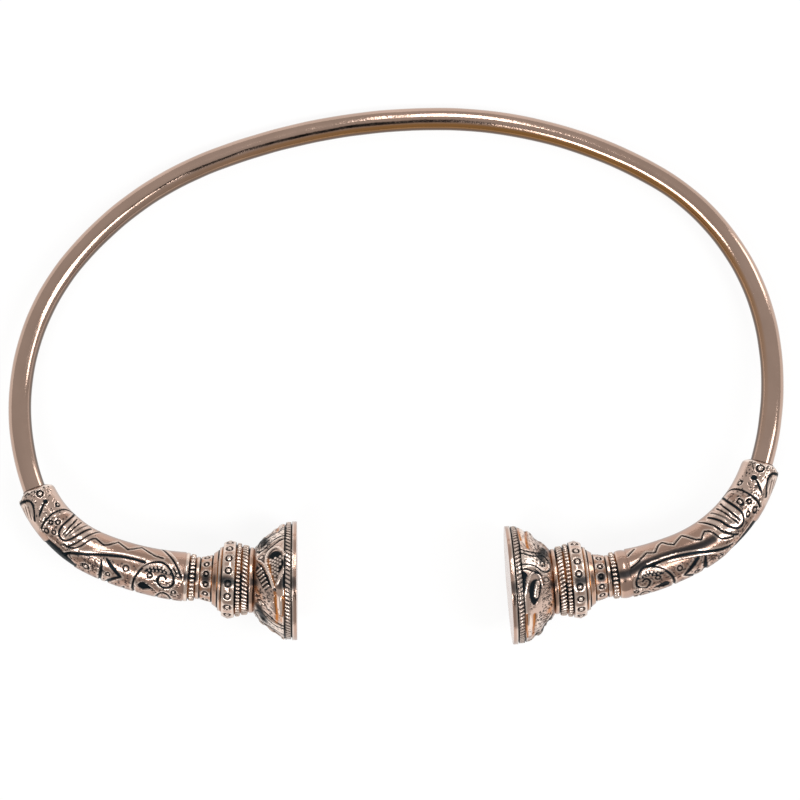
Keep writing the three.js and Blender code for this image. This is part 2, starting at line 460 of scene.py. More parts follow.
    def swell(self, at, half_along, half_angle, height):
        """A broad soft bulge."""
        along, angle = self.origin + at
        off_along = (self.along - along) / half_along
        off_angle = wrapped(self.angle - angle) / half_angle
        share = np.clip(1 - off_along**2 - off_angle**2, 0, 1)
        self.height += height * smooth_step(share)

    def ridge(self, points, width=0.6, height=0.15, wear_and_highlight=0.8):
        """A raised rounded line, worn bright."""
        near, distance, _ = self.near_line(points)
        share = rounded(distance, width / 2)
        raise_to(self.height, height * share, near)
        self.patina_and_painted_shade[near] *= 1 - smooth_step(share * 1.5)
        raise_to(self.wear_and_highlight, wear_and_highlight * share, near)
        raise_to(self.cover, smooth_step(share * 2), near)

    def dot(self, at, radius=0.22, depth=0.13, patina_and_painted_shade=0.9):
        near, distance = self.around_point(at, radius)
        self.sink(near, rounded(distance, radius), depth, patina_and_painted_shade)

    def pit(self, at, radius, depth):
        """A small dark pit punched into whatever is there."""
        near, distance = self.around_point(at, radius)
        share = rounded(distance, radius)
        self.height[near] -= depth * share
        raise_to(self.patina_and_painted_shade, 0.9 * smooth_step(share * 1.6), near)
        self.wear_and_highlight[near] *= 1 - share

    def pits(self, rng, count, alongs, angles, radii, depth):
        """Small dark specks of fine punch work, scattered over a patch."""
        for _ in range(count):
            drawn = [low + (high - low) * rng.random() for low, high in (alongs, angles, radii)]
            self.pit(drawn[:2], drawn[2], depth)

    def ring(self, at, radius=0.7, line=0.42, depth=0.3, dome=0.14):
        """A punched ring round a small dome."""
        near, distance = self.around_point(at, radius + 0.5)
        self.sink(near, rounded(distance - radius + line / 2, line / 2), depth, 1.0)
        inner = rounded(distance, radius - line)
        self.raise_ball(near, inner, dome)
        raise_to(self.wear_and_highlight, inner, near)
        # A painted highlight round the outside of the ring.
        raise_to(self.wear_and_highlight, 0.6 * falloff(distance - radius - 0.14, 0.12) * (distance > radius), near)

    def dome(self, at, radius, height):
        """A small bright ball, left standing in a dark ground."""
        near, distance = self.around_point(at, radius)
        share = rounded(distance, radius)
        self.raise_ball(near, share, height)
        bright = smooth_step(share * 1.6)
        self.patina_and_painted_shade[near] *= 1 - bright
        raise_to(self.wear_and_highlight, bright, near)

    def mound(self, at, radius, height):
        """A raised ball with a dark line round its foot."""
        near, distance = self.around_point(at, radius + 0.5)
        self.sink(near, rounded(distance - radius - 0.08, 0.16), 0.13, 0.9)
        ball = np.sqrt(rounded(distance, radius))
        self.raise_ball(near, ball, height)
        raise_to(self.wear_and_highlight, ball, near)

    def field(self, outline, depth=0.2, patina_and_painted_shade=1.0, edge=0.22):
        """A sunk, dark area inside a closed outline."""
        closed = list(outline) + [outline[0]]
        near, distance, _ = self.near_line(closed)
        flat, _, x, y = self.line_window(closed, True)
        inside = np.zeros(len(x), bool)
        for start, end in zip(flat, flat[1:]):
            crosses = (start[1] > y) != (end[1] > y)
            rise = end[1] - start[1]
            run = (y - start[1]) * (end[0] - start[0]) / (rise if abs(rise) > 1e-9 else 1e-9)
            inside ^= crosses & (x < start[0] + run)
        self.sink(near, np.where(inside, np.clip(distance / edge, 0, 1), 0), depth, patina_and_painted_shade)


# ---- the ornament of the sleeve ----
# Points are (mm from the mouth, degrees from the outer side). The lower half mirrors the upper one.


def mouth_lip(relief):
    """The mouth is cut back on the outer side, where the petal starts."""
    edge = 1.6 * smooth_step((62 - relief.angle) / 40)
    cut = smooth_step((edge - relief.along) / 0.5)
    rounding = 0.75 * np.clip(1 - relief.along / 1.1, 0, 1) ** 2
    collar = relief.radius - ROD_RADIUS - 0.12
    relief.height -= np.minimum(cut * collar + rounding, collar)
    raise_to(relief.patina_and_painted_shade, 0.8 * falloff(relief.along - edge, 0.3))


def mouth_ornament(relief):
    relief.ring((1.7, 102), radius=0.85)
    relief.ring((5.6, 133), radius=0.66)
    relief.dot((3.7, 105), radius=0.62, depth=0.24, patina_and_painted_shade=1.0)
    relief.stroke([(3.9, 100), (4.3, 90), (4.9, 78), (5.6, 64)], width=0.62, taper=0.6)
    for at in [(5.7, 88), (0.8, 80), (1.0, 72), (2.9, 78), (0.9, 122), (1.0, 140), (0.8, 60)]:
        relief.dot(at)
    relief.swell((4.0, 26), 2.6, 34, 0.4)
    relief.stroke([(1.7, -5), (1.7, 40), (2.0, 60), (2.8, 67), (3.8, 63), (4.8, 53), (5.6, 44)],
                  width=0.62, depth=0.3)
    relief.ridge([(2.4, 20), (2.6, 48), (3.4, 57), (4.6, 48)], width=0.7, height=0.45)
    ribs = (
        [(2.7, 52), (3.8, 45), (5.1, 34)],
        [(2.4, 40), (3.6, 32), (4.6, 22)],
        [(2.3, 26), (3.4, 18), (4.2, 6)],
    )
    for rib in ribs:
        relief.stroke(rib, width=0.31, depth=0.1, patina_and_painted_shade=0.7, taper=0.6)


def first_arc(relief):
    relief.stroke([(9.9, 172), (9.2, 165), (8.3, 158), (7.3, 140), (6.8, 115), (6.7, 95), (6.9, 70),
                   (7.2, 55), (7.5, 44)], width=0.5, depth=0.3)
    relief.ridge([(9.6, 155), (8.2, 140), (7.7, 118), (7.6, 104)], width=0.5, height=0.08, wear_and_highlight=0.5)
    for at, radius in [((8.7, 98), 0.66), ((7.8, 82), 0.6), ((9.6, 70), 0.6), ((8.4, 56), 0.66)]:
        relief.ring(at, radius=radius)
    for at in [(7.6, 68), (9.2, 84), (8.1, 44), (9.8, 58), (11.0, 62), (12.4, 60)]:
        relief.dot(at, radius=0.2)


def horn_folds(relief):
    """The U-shaped folds that open towards the inner side."""
    relief.stroke([(9.6, 170), (9.8, 150), (9.9, 125), (9.9, 100), (10.2, 83), (10.9, 73), (11.6, 71),
                   (12.4, 76), (13.1, 92), (13.8, 115), (14.3, 132), (15.0, 152)], width=0.58, depth=0.32)
    relief.ridge([(10.3, 165), (10.5, 130), (10.6, 100), (11.0, 86)], width=0.55, height=0.14)
    relief.ridge([(12.0, 82), (12.5, 100), (13.1, 122), (13.8, 150)], width=0.5, height=0.12)
    relief.stroke([(11.2, 84), (11.1, 105), (11.1, 130), (11.0, 152)], width=0.42, depth=0.2)
    relief.stroke([(11.7, 84), (11.9, 110), (12.1, 132), (12.3, 152)], width=0.42, depth=0.2)
    relief.stroke([(12.3, 92), (12.8, 115), (13.3, 138), (13.8, 158)], width=0.43, depth=0.16, patina_and_painted_shade=0.8)
    relief.ridge([(13.5, 82), (14.2, 104), (14.8, 124), (15.6, 148)], width=0.5, height=0.12)
    relief.stroke([(13.1, 62), (13.9, 78), (14.7, 100), (15.5, 124), (16.4, 148), (17.2, 166)], width=0.46)
    for at in [(13.1, 72), (13.7, 84), (14.4, 98), (14.9, 110), (12.6, 66)]:
        relief.dot(at, radius=0.18)


def zigzag(relief, peaks):
    """The border that runs in peaks near the inner side."""
    relief.stroke(peaks, width=0.46, depth=0.26, is_smooth=False)


def long_line(relief, points):
    """The deep line that sweeps from the dark leaf up to the top and back to the spiral."""
    relief.stroke(points, width=0.8, depth=0.38)


def dark_leaf(relief):
    relief.field([(9.7, 44), (11.8, 46), (13.7, 43), (15.2, 35), (16.4, 24), (16.0, 4), (15.5, -10),
                  (9.6, -10)], depth=0.16)
    relief.ridge([(9.4, 48), (11.6, 50), (13.2, 48)], width=0.4, height=0.1, wear_and_highlight=0.6)


def triangle(relief):
    """The sunk three-cornered figure on the outer side with its trail of dots."""
    for at in [(18.4, 58), (18.8, 63), (19.2, 68), (19.6, 73), (20.0, 78), (20.5, 83)]:
        relief.dot(at, radius=0.2)
    relief.ring((17.8, 41), radius=0.75)
    sides = (
        ([(20.2, 78), (20.6, 60), (20.8, 40), (20.9, 20), (20.9, -5)], 0.8, 0.3, 0.5),
        ([(21.0, 87), (21.6, 80), (22.7, 70), (23.8, 60), (24.7, 53)], 0.95, 0.32, 0.5),
        ([(24.7, 51), (23.6, 42), (22.8, 28), (22.3, 12), (22.2, -5)], 0.85, 0.32, 0.3),
    )
    for points, width, depth, taper in sides:
        relief.stroke(points, width=width, depth=depth, taper=taper)
    relief.ridge([(25.1, 56), (25.1, 50), (24.2, 40)], width=0.5, height=0.1)
    relief.ring((22.2, 46), radius=0.62)
    relief.ring((25.2, 79), radius=0.78)
    for at in [(21.8, 85), (22.6, 83), (23.4, 82), (24.2, 88), (26.6, 90), (27.1, 84), (25.9, 62),
               (26.0, 54), (19.0, 50)]:
        relief.dot(at)
    relief.stroke([(25.3, -8), (25.4, 8), (25.7, 22)], width=0.48, depth=0.14, taper=0.5)


def spiral(relief):
    """The large curl, with its dark ground, rings and teardrop."""
    relief.field([(28.4, 82), (29.6, 97), (31.6, 104), (33.4, 99), (34.4, 86), (33.3, 85), (31.6, 88),
                  (30.4, 84)], depth=0.22)
    for along in np.arange(29.4, 34.0, 0.75):
        relief.dome((along, 100 - 2.2 * abs(along - 31.6)), radius=0.26, height=0.1)
        relief.dome((along + 0.35, 92 - 1.4 * abs(along - 31.6)), radius=0.2, height=0.06)
    relief.stroke([(28.0, -8), (27.5, 12), (27.2, 38), (27.3, 60), (27.9, 82), (29.0, 100), (30.4, 111),
                   (31.8, 114), (33.1, 108), (34.1, 96), (34.7, 82), (34.8, 68), (34.3, 57), (33.2, 52),
                   (32.2, 57), (31.7, 68), (31.9, 79), (32.7, 83), (33.3, 77)], width=0.62, depth=0.34)
    relief.ridge([(28.6, 92), (29.8, 103), (31.4, 107), (32.9, 101), (33.7, 90)], width=0.4, height=0.08)
    relief.ring((30.0, 77), radius=0.68)
    relief.field([(28.0, 46), (28.6, 56), (29.6, 55), (30.6, 48), (31.3, 42), (30.2, 36), (29.2, 32),
                  (28.3, 37)], depth=0.26)
    relief.ring((35.0, 43), radius=0.62)
    for at in [(30.8, 61), (31.3, 55), (28.5, 68), (32.9, 68), (33.5, 66), (35.6, 58)]:
        relief.dot(at, radius=0.2)
    relief.stroke([(31.8, -5), (31.9, 15), (32.4, 31), (33.2, 36), (34.0, 30), (34.5, 14), (34.6, -5)],
                  width=0.48, depth=0.18)


def sleeve_end(relief):
    relief.stroke([(31.3, 168), (32.6, 146), (33.9, 128), (35.0, 110), (36.2, 86)], width=0.52, depth=0.3)
    relief.ridge([(32.1, 168), (33.4, 147), (34.6, 128), (35.7, 108)], width=0.5, height=0.1, wear_and_highlight=0.8)
    relief.stroke([(34.4, 104), (34.9, 96), (35.2, 90)], width=0.41)
    relief.field([(34.9, 82), (34.8, 92), (35.4, 98), (36.2, 92), (36.4, 80)], depth=0.16, patina_and_painted_shade=0.9)
    relief.dome((35.5, 88), radius=0.3, height=0.08)


def sleeve_ornament(relief, rng):
    relief.pits(rng, 130, (0.5, 10.0), (45, 140), (0.14, 0.25), 0.1)
    relief.pits(rng, 90, (10.5, 20.0), (40, 75), (0.14, 0.25), 0.1)
    relief.pits(rng, 260, (16.0, 36.5), (10, 90), (0.14, 0.25), 0.1)
    mouth_lip(relief)
    mouth_ornament(relief)
    first_arc(relief)
    horn_folds(relief)
    dark_leaf(relief)
    triangle(relief)
    spiral(relief)


def left_lines(relief):
    relief.stroke([(12.5, 62), (14.0, 68), (15.2, 84), (15.9, 103), (16.6, 120), (17.3, 126)], width=0.46)
    zigzag(relief, [(17.3, 126), (19.4, 117), (20.4, 124), (21.9, 146), (23.0, 138), (24.4, 129), (25.6, 139),
                    (27.0, 153), (28.6, 140), (30.2, 130), (32.0, 126)])
    points = [(13.6, 40), (14.4, 54), (15.8, 67), (18.2, 83), (20.8, 95), (23.6, 104), (26.2, 107),
              (28.5, 106)]
    long_line(relief, points)
    relief.ridge([(along - 0.1, angle + 8) for along, angle in points[2:]], width=0.7, height=0.1, wear_and_highlight=0.6)
    sleeve_end(relief)


def right_lines(relief):
    relief.stroke([(15.4, 52), (16.6, 62), (17.6, 74), (17.9, 90), (18.4, 106), (19.3, 115)], width=0.46)
    zigzag(relief, [(19.3, 115), (20.0, 110), (20.8, 102), (21.8, 108), (24.0, 142), (26.4, 124),
                    (27.4, 132), (28.5, 146), (29.4, 140), (30.6, 121), (31.5, 123), (32.4, 127),
                    (34.4, 110), (36.3, 99)])
    # Painted dark reflection above the long line.
    relief.dark_band([(18.8, 84), (21.5, 89), (24.0, 96), (27.0, 102), (30.0, 104), (33.5, 100), (36.4, 90)],
                 2.0, 0.95)
    points = [(16.6, 33), (18.4, 46), (20.5, 62), (22.5, 76), (24.5, 85), (27.0, 92), (29.0, 94.5),
              (31.0, 94), (33.0, 92)]
    relief.ridge([(along, angle + 6) for along, angle in points[1:]], width=0.35, height=0.06, wear_and_highlight=0.5)
    long_line(relief, points)
    relief.ridge([(along, angle - 8) for along, angle in points[1:7]], width=0.4, height=0.08, wear_and_highlight=0.9)
    relief.stroke([(34.6, 152), (35.6, 140), (36.4, 131)], width=0.5, depth=0.3)


# ---- the ornament of the head ----


def punched_band(relief, start, width, count, radius, first_angle):
    for index in range(count):
        angle = first_angle + 360 / count * index
        relief.ring((start + width / 2, angle), radius=radius, dome=0.1)


def beaded_ring(relief, start, width, count, height, slant):
    """Small beads all the way round, in a dark ground."""
    inside = (relief.along > start + 0.08) & (relief.along < start + width - 0.08)
    across = (relief.along - start - width / 2) / (width / 2 - 0.08)
    turn = relief.angle / 360 * count + slant * across
    beside = 2 * (turn - np.round(turn))
    bead = np.sqrt(np.clip(1 - (across * 1.05) ** 4 - (beside * 1.55) ** 2, 0, 1))
    relief.height = np.where(inside, height * (bead - 0.8), relief.height)
    relief.patina_and_painted_shade = np.where(inside, 1 - smooth_step(bead * 1.3), relief.patina_and_painted_shade)
    relief.wear_and_highlight = np.where(inside, bead, relief.wear_and_highlight)


def groove_finish(relief, starts):
    """Patina and a painted warm reflection in the grooves between the rings."""
    for start in starts:
        raise_to(relief.patina_and_painted_shade, falloff(relief.along - start, 0.2, 4))
        near = falloff(relief.along - start, 0.42)
        raise_to(relief.warm_reflection, near)
        bare = smooth_step(0.5 + np.sin(np.radians(3 * relief.angle) + 5 * start))
        raise_to(relief.clean, 0.55 * near * bare)


# The figures of a cup are measured from its neck and from the middle of the figure.


def tongue(relief):
    """A long tongue that comes from the rim, with a double line round it and a ring in its end."""
    start, centre = relief.origin
    near, x, y = relief.window(start - 0.3, start + CUP_LENGTH, centre, 24)
    half = np.interp(x - start, [0, 1.5, 3.4, 6.2], [2.3, 2.7, 1.9, 2.2])
    body = smooth_step((half - np.abs(y)) / 0.5) * smooth_step((x - start) / 0.5)
    raise_to(relief.height, 0.42 * body, near)
    raise_to(relief.cover, body, near)
    raise_to(relief.wear_and_highlight, body, near)
    inner = [(6.3, 6.5), (4.5, 5.5), (3.2, 7), (2.1, 11.5), (1.2, 11), (0.55, 6)]
    mirrored = [(along, -angle) for along, angle in reversed(inner)]
    relief.stroke(inner + [(0.4, 0)] + mirrored, width=0.46, depth=-0.1)
    outer = [(6.3, 11), (5.2, 10.8), (4.2, 12), (3.0, 14.5), (2.2, 17)]
    for sign in (1, -1):
        line = [(along, sign * angle) for along, angle in outer]
        relief.stroke(line, width=0.5, depth=0.12, taper=0.3)
    relief.ring((1.9, 0), radius=0.66, line=0.34, depth=-0.14, dome=0.45)


def arched_recess(relief):
    """The left cup's figure: a bright arch round a dark hollow full of small scales."""
    relief.field([(2.9, 15), (3.6, 19), (4.6, 18), (5.4, 14), (5.9, 8), (6.0, -2), (5.2, -9), (4.4, -17),
                  (3.9, -20), (3.4, -8), (2.8, 4)], depth=0.34, edge=0.25)
    relief.ridge([(4.0, -24), (3.4, -14), (2.8, -3), (2.35, 8), (2.6, 18), (3.5, 23), (4.7, 22), (5.6, 16),
                  (6.2, 11)], width=0.62, height=0.3, wear_and_highlight=1.0)
    relief.ridge([(6.2, -4), (5.3, -13), (4.6, -21)], width=0.5, height=0.2, wear_and_highlight=1.0)
    for row in range(7):
        for column in range(6):
            along = 3.3 + 0.5 * column
            angle = 9.0 - 4.0 * row - 2.0 * (column % 2)
            if 3.1 + 0.14 * row < along < 6.0 - 0.27 * row:
                relief.dome((along, angle), radius=0.3, height=-0.02)
    relief.dot((4.3, -27), radius=0.45, depth=0.2)
    relief.field([(5.7, -11), (6.2, -8), (6.2, -25), (5.85, -23)], depth=0.2, edge=0.2)
    # A painted warm reflection along the inside of the arch, with the patina kept off it.
    near, distance, _ = relief.near_line([(2.9, 10), (3.2, 0), (3.7, -12), (4.2, -22)])
    raise_to(relief.warm_reflection, falloff(distance, 0.5), near)
    raise_to(relief.clean, 0.8 * falloff(distance, 0.3), near)
    rope(relief)


def rope(relief):
    """A short twisted rope on a dark ground beside the neck."""
    relief.field([(0.5, 10), (0.9, 6), (1.6, -2), (2.6, -14), (3.0, -26), (2.2, -30), (1.0, -16), (0.4, -4)],
                 depth=0.24)
    for step in range(6):
        along = 1.05 + 0.3 * step
        angle = -4.8 * step
        relief.ridge([(along - 0.4, angle - 3.5), (along + 0.4, angle + 1.0)],
                     width=0.42, height=0.12, wear_and_highlight=1.0)
    relief.ridge([(0.4, 22), (1.2, 12), (2.1, 3), (2.9, -8)], width=0.6, height=0.25, wear_and_highlight=0.6)


def oval_recess(relief, rng):
    """The right cup's figure: an oval hollow with a pale leaf lying in it."""
    relief.field([(2.5, 5), (2.7, -6), (3.3, -14), (4.1, -19), (4.9, -14), (5.2, -6), (5.1, 3), (4.6, 9),
                  (3.8, 12), (3.0, 11)], depth=0.3, edge=0.3)
    relief.ridge([(3.2, 7), (3.5, 0), (3.75, -8)], width=1.0, height=0.02, wear_and_highlight=0.5)
    rim = [(2.35, 2), (2.5, 12), (3.0, 18), (3.9, 19.5), (4.8, 14), (5.4, 5), (5.8, -4)]
    relief.ridge(rim, width=0.4, height=0.16, wear_and_highlight=0.5)
    relief.pits(rng, 26, (2.9, 4.0), (-9, 8), (0.11, 0.17), 0.08)
    relief.field([(5.0, 16), (5.5, 19), (6.2, 19), (6.2, 2), (5.9, -2), (5.6, 8)], depth=0.2, edge=0.2)
    relief.pits(rng, 90, (0.7, 2.6), (4, -28), (0.11, 0.18), 0.09)
    relief.pits(rng, 30, (4.0, 5.6), (0, -24), (0.11, 0.16), 0.08)


def folds(relief, rng):
    """Low folds round the cup with a painted warm reflection in the hollows between them, and stippling near
    the neck.
    """
    for line in ([(4.35, -30), (4.5, -42), (4.75, -54), (4.6, -70)], [(5.95, -26), (5.95, -44), (5.8, -62)]):
        near, distance, _ = relief.near_line(line)
        hollow = falloff(distance, 0.3)
        relief.height[near] -= 0.22 * hollow
        raise_to(relief.warm_reflection, smooth_step(hollow * 1.6), near)
        raise_to(relief.clean, hollow, near)
    # A painted warm reflection near the neck.
    near, distance, _ = relief.near_line([(0.5, -28), (1.2, -40), (1.0, -56)])
    raise_to(relief.warm_reflection, 0.8 * falloff(distance, 0.6), near)
    relief.dark_band([(1.1, -60), (1.7, -70), (2.2, -80)], 2.0, 0.95)
    relief.swell((5.3, -48), 0.8, 26, 0.2)
    relief.swell((3.4, -52), 0.9, 24, 0.22)
    relief.swell((1.4, -62), 1.0, 20, 0.35)
    relief.pits(rng, 190, (0.6, 3.9), (-28, -92), (0.13, 0.23), 0.12)
    relief.pits(rng, 70, (3.9, 6.1), (-46, -90), (0.11, 0.17), 0.08)


def cup_ornament(relief, side, start, rng):
    for index in range(TONGUE_COUNT):
        centre = side["tongue_start"] + 360 / TONGUE_COUNT * index
        relief.place_at(start, centre - side["figure_turn"])
        folds(relief, rng)
        if side is LEFT:
            arched_recess(relief)
        else:
            oval_recess(relief, rng)
        relief.place_at(start, centre)
        relief.mound((1.45, -22.5), radius=0.42, height=0.25)
        tongue(relief)
    relief.place_at(start, 0)
    for offset, angle, height in side["cup_bulges"]:
        relief.swell((offset, angle), 0.9, 24, height)
    part = np.clip((relief.along - start) / CUP_LENGTH, 0, 1)
    relief.height -= 0.75 * np.sin(np.pi * part) * (1 - 0.4 * relief.cover)
    relief.polish(start + 0.5, start + CUP_LENGTH, 0.35)
    raise_to(relief.patina_and_painted_shade, 0.9 * falloff(relief.along - start, 0.3))


def head_ornament(relief, side, rng):
    starts = ring_starts(side)
    widths = [ring[0] for ring in head_rings(side)]
    groove_finish(relief, starts[1:])
    rim = starts[-1] + CUP_LENGTH
    for groove in (rim, rim + MILLED_WIDTH):
        raise_to(relief.patina_and_painted_shade, falloff(relief.along - groove, 0.2, 4))
    # Painted dark reflection along the top of the rings, and of the rim and flange.
    relief.dark_band([(0.0, 86), (6.0, 85), (12.0, 84), (starts[-1], 83)], 2.2, 0.95)
    relief.dark_band([(rim - 0.4, 84), (rim + MILLED_WIDTH, 84)], 3.6, 0.9)
    first_small, first_large = side["band_angles"]
    punched_band(relief, starts[SMALL_BAND], widths[SMALL_BAND], 13, 0.68, first_small)
    punched_band(relief, starts[LARGE_BAND], widths[LARGE_BAND], 18, 0.82, first_large)
    for index, count, slant in BEADED_RINGS:
        beaded_ring(relief, starts[index], widths[index], count, 0.32, slant)
    beaded_ring(relief, rim + 0.1, MILLED_WIDTH - 0.2, 84, 0.3, 0.3)
    cup_ornament(relief, side, starts[-1], rng)


# ---- meshes ----


def column_angles(seen, hidden):
    """Angles round a section, closer together on the side that is seen from above."""
    front = np.linspace(SEEN_FROM, SEEN_TO, seen, endpoint=False)
    back = np.linspace(SEEN_TO, SEEN_FROM + 360, hidden, endpoint=False)
    return np.concatenate([front, back])


def grid_faces(first_vertex, rows, columns):
    faces = []
    for row in range(rows - 1):
        a = first_vertex + row * columns
        b = a + columns
        faces.extend((a + k, a + (k + 1) % columns, b + (k + 1) % columns, b + k) for k in range(columns))
    return faces


def stitched_faces(first_a, angles_a, first_b, angles_b):
    """Triangles between two closed rows with different numbers of points."""
    faces = []
    i = j = 0
    count_a, count_b = len(angles_a), len(angles_b)
    next_a = [*angles_a[1:], angles_a[0] + 360, np.inf]
    next_b = [*angles_b[1:], angles_b[0] + 360, np.inf]
    while i < count_a or j < count_b:
        a = first_a + i % count_a
        b = first_b + j % count_b
        if next_a[i] <= next_b[j]:
            faces.append((a, first_a + (i + 1) % count_a, b))
            i += 1
        else:
            faces.append((a, first_b + (j + 1) % count_b, b))
            j += 1
    return faces


def fan_faces(centre, first, columns, is_start):
    if is_start:
        return [(centre, first + (k + 1) % columns, first + k) for k in range(columns)]
    return [(centre, first + k, first + (k + 1) % columns) for k in range(columns)]


def make_piece(name, points, faces, attributes):
    """A closed smooth mesh in metres, with its faces turned outwards."""
    corners = [np.array([points[face[k]] for face in faces]) for k in range(3)]
    volume = np.einsum("ij,ij->", corners[0], np.cross(corners[1], corners[2]))
    if volume < 0:
        faces = [tuple(reversed(face)) for face in faces]
    mesh = bpy.data.meshes.new(name)
    mesh.from_pydata((points * MM).tolist(), [], faces)
    mesh.polygons.foreach_set("use_smooth", np.ones(len(faces), bool))
    for key, values in attributes.items():
        attribute = mesh.attributes.new(key, "FLOAT", "POINT")
        attribute.data.foreach_set("value", values.astype(np.float32))
    mesh.update()
    piece = bpy.data.objects.new(name, mesh)
    bpy.context.scene.collection.objects.link(piece)
    return piece


def uneven(along, angle, seed, size):
    """A gentle hand-finished unevenness: a few long waves along and round a section."""
    rng = np.random.default_rng(seed)
    total = np.zeros(np.broadcast(along, angle).shape)
    for _ in range(WAVE_COUNT):
        pitch = rng.uniform(6, 26)
        turns = rng.integers(0, 4)
        phase = rng.uniform(0, 2 * np.pi)
        total += np.sin(2 * np.pi * along / pitch + turns * np.radians(angle) + phase)
    return size * total / math.sqrt(WAVE_COUNT)


def master_places(side, along, angle):
    """Where each point of a sleeve is on the left sleeve, whose ornament both of them carry."""
    if side is LEFT:
        return along, angle
    low = np.interp(along, TURN_PLACES, TURNS_LOW)
    top = np.interp(along, TURN_PLACES, TURNS_TOP)
    inner = np.interp(along, TURN_PLACES, TURNS_INNER)
    to_top = np.clip((angle - 30) / 45, 0, 1)
    to_inner = np.clip((angle - 85) / 25, 0, 1)
    turn = low + (top - low) * to_top + (inner - top) * to_inner
    return np.interp(along, RIGHT_PLACES, LEFT_PLACES), angle - turn


def finished_sleeve(side, rng, seed):
    """The rows, the radii and the ornament of a sleeve."""
    body_rows = np.linspace(FIRST_BODY_ROW, SLEEVE_LENGTH, round(SLEEVE_LENGTH / SLEEVE_STEP))
    rows = np.concatenate([MOUTH_ROWS, body_rows])
    along, angle = np.meshgrid(rows, column_angles(*SLEEVE_COLUMNS), indexing="ij")
    mirrored = np.abs(wrapped(angle))
    plain = sleeve_radius(along)
    relief = Relief(*master_places(side, along, mirrored), plain)
    sleeve_ornament(relief, rng)
    relief.along, relief.angle = along, mirrored
    own_lines = left_lines if side is LEFT else right_lines
    own_lines(relief)
    relief.polish(-1, 7.5, 0.35)
    radii = plain + relief.height + uneven(along, angle, seed, CAST_WAVES)
    relief.shade_hollows(radii)
    relief.paint_flank_shade(0.35)
    return rows, radii, relief


def finished_head(side, rng, seed):
    """The rows, the radii and the ornament of a head."""
    rows = head_rows(side)
    along, angle = np.meshgrid(rows, column_angles(*HEAD_COLUMNS), indexing="ij")
    plain = head_radius(side, along)
    relief = Relief(along, angle, plain)
    head_ornament(relief, side, rng)
    radii = plain + relief.height + uneven(along + SLEEVE_LENGTH, angle, seed, CAST_WAVES)
    relief.shade_hollows(radii)
    relief.paint_flank_shade(0.25)
    return rows, radii, relief


def terminal_piece(side, shift):
    rng = np.random.default_rng(side["seed"])
    sleeve_along, sleeve_radii, sleeve = finished_sleeve(side, rng, side["seed"])
    head_along, head_radii, head = finished_head(side, rng, side["seed"])

    # The socket comes before the sleeve's rows, and the flat end face after the head's.
    sleeve_angles = column_angles(*SLEEVE_COLUMNS)
    head_angles = column_angles(*HEAD_COLUMNS)
    socket_along = np.linspace(SOCKET_DEPTH, 0.1, SOCKET_ROWS)
    socket_radii = np.full((SOCKET_ROWS, len(sleeve_angles)), ROD_RADIUS + SOCKET_GAP)
    face_along = np.full(len(FACE_SHARES), head_along[-1])
    face_radii = head_radii[-1] * np.array(FACE_SHARES)[:, None]

    mouth = mouth_distance(side)
    sleeve_distance = mouth + np.concatenate([socket_along, sleeve_along])
    head_distance = mouth + SLEEVE_LENGTH + side["head_stretch"] * np.concatenate([head_along, face_along])
    sleeve_radii = np.vstack([socket_radii, sleeve_radii])
    head_radii = np.vstack([head_radii, face_radii])
    sleeve_points = section_points(side, sleeve_distance, sleeve_angles, sleeve_radii)
    head_points = section_points(side, head_distance, head_angles, head_radii)
    bottom = section_axes(side, np.array([mouth + SOCKET_DEPTH]))[0]
    end = section_axes(side, head_distance[-1:])[0]
    points = np.vstack([sleeve_points.reshape(-1, 3), head_points.reshape(-1, 3), bottom, end]) + shift

    columns, head_columns = len(sleeve_angles), len(head_angles)
    head_first = len(sleeve_distance) * columns
    bottom_vertex = len(points) - 2
    faces = grid_faces(0, len(sleeve_distance), columns)
    faces += stitched_faces(head_first - columns, sleeve_angles, head_first, head_angles)
    faces += grid_faces(head_first, len(head_distance), head_columns)
    faces += fan_faces(bottom_vertex, 0, columns, True)
    faces += fan_faces(bottom_vertex + 1, bottom_vertex - head_columns, head_columns, False)

    attributes = {}
    for key in ("patina_and_painted_shade", "warm_reflection", "wear_and_highlight"):
        shares = [np.zeros(socket_radii.size), getattr(sleeve, key).ravel()]
        shares += [getattr(head, key).ravel(), np.zeros(face_radii.size + 2)]
        attributes[key] = np.concatenate(shares)
    return make_piece(side["node"] + "_bronze", points, faces, attributes)


def rod_grid():
    """Points, painted warm reflection and painted shade of the whole rod, from inside the left socket to
    inside the right one.
    """
    inside = SOCKET_DEPTH - ROD_END_GAP
    angles = np.linspace(0, 360, ROD_SIDES, endpoint=False)
    rows = []
    for side in (LEFT, RIGHT):
        reach = mouth_distance(side) + inside
        distance = np.linspace(0, reach, round(reach / ROD_STEP) + 1)
        signed = distance * side["direction"]
        radius = ROD_RADIUS + uneven(signed[:, None], angles, ROD_SEED, ROD_WAVES)
        points = section_points(side, distance, angles, radius)
        # Painted warm reflection on the inner flank near the back, and painted shade along the inner edge all
        # round.
        near_back = np.exp(-(((signed[:, None] - 20) / 70) ** 4))
        warm_reflection_flank = smooth_step((angles - 110) / 18) * smooth_step((260 - angles) / 60)
        shaded_inner_edge = smooth_step((angles - 134) / 22) * smooth_step((235 - angles) / 45)
        rows.append((points, near_back * warm_reflection_flank, 0.9 * shaded_inner_edge * np.ones_like(near_back)))
    return [np.concatenate([left[::-1], right[1:]]) for left, right in zip(*rows)]


